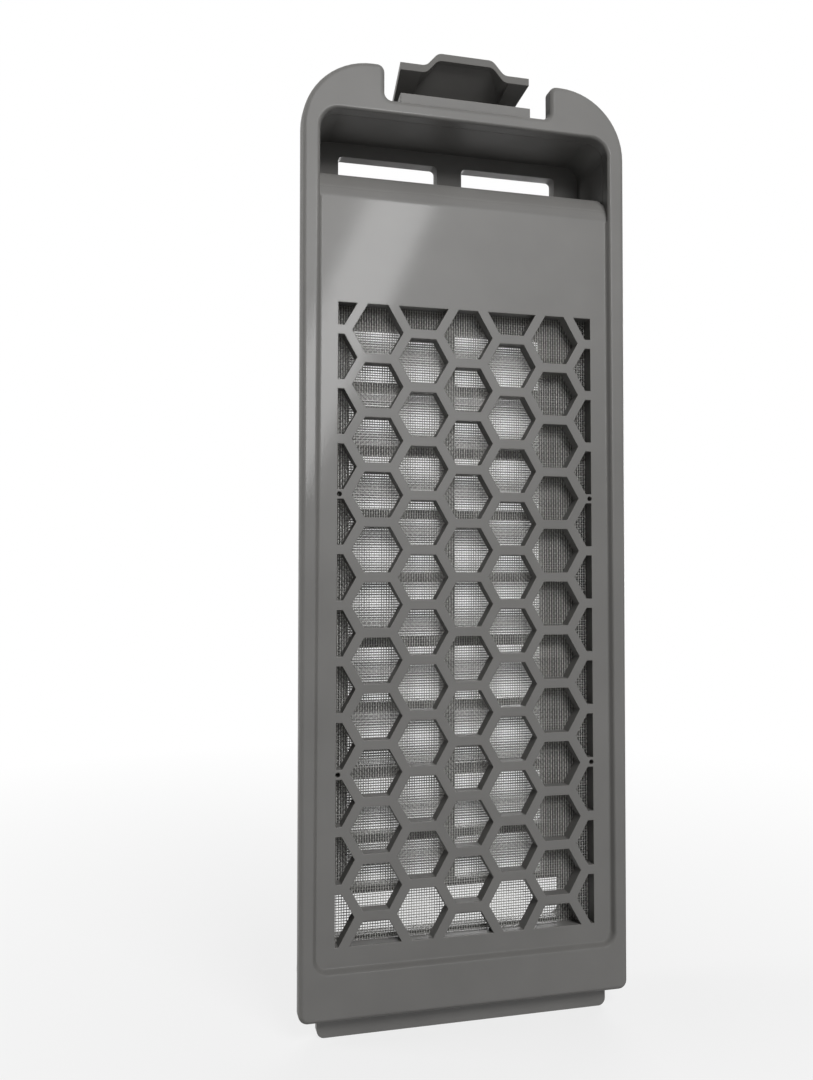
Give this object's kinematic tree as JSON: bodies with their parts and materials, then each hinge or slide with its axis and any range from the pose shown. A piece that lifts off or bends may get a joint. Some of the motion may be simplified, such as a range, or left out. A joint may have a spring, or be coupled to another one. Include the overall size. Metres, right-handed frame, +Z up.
{
  "type": "lint filter",
  "caption": "Slim clip-in lint filter: grey moulded front with honeycomb panel, finger lip and sprung latch tab, a hinged rear case with a lattice of windows, and two woven nylon sheets.",
  "frame": {"origin": "middle of the filter's depth and width, at the level of the tongue's lower edge", "axes": "+X to the filter's right as seen from the front, +Y from the flange towards the rear wall, +Z up along the filter"},
  "size_m": [0.0698, 0.018, 0.1988],
  "materials": {
    "moulded_plastic": "satin moulded grey polypropylene",
    "nylon_mesh": "fine woven natural nylon"
  },
  "bodies": {
    "front_panel": {"front_panel": "moulded_plastic", "front_mesh": "nylon_mesh"},
    "case": {"case": "moulded_plastic", "rear_mesh": "nylon_mesh"},
    "latch_tab": {"latch_tab": "moulded_plastic"}
  },
  "joints": [
    {"name": "case_hinge", "type": "hinge", "parent": "front_panel", "child": "case", "pos_m": [0, -0.0051, 0.01255], "axis": [-1, 0, 0], "range_deg": [0, 65]},
    {"name": "latch_press", "type": "hinge", "parent": "front_panel", "child": "latch_tab", "pos_m": [0, 0.0063, 0.1902], "axis": [1, 0, 0], "range_deg": [0, 15], "stiffness_Nm_per_rad": 0.25}
  ]
}
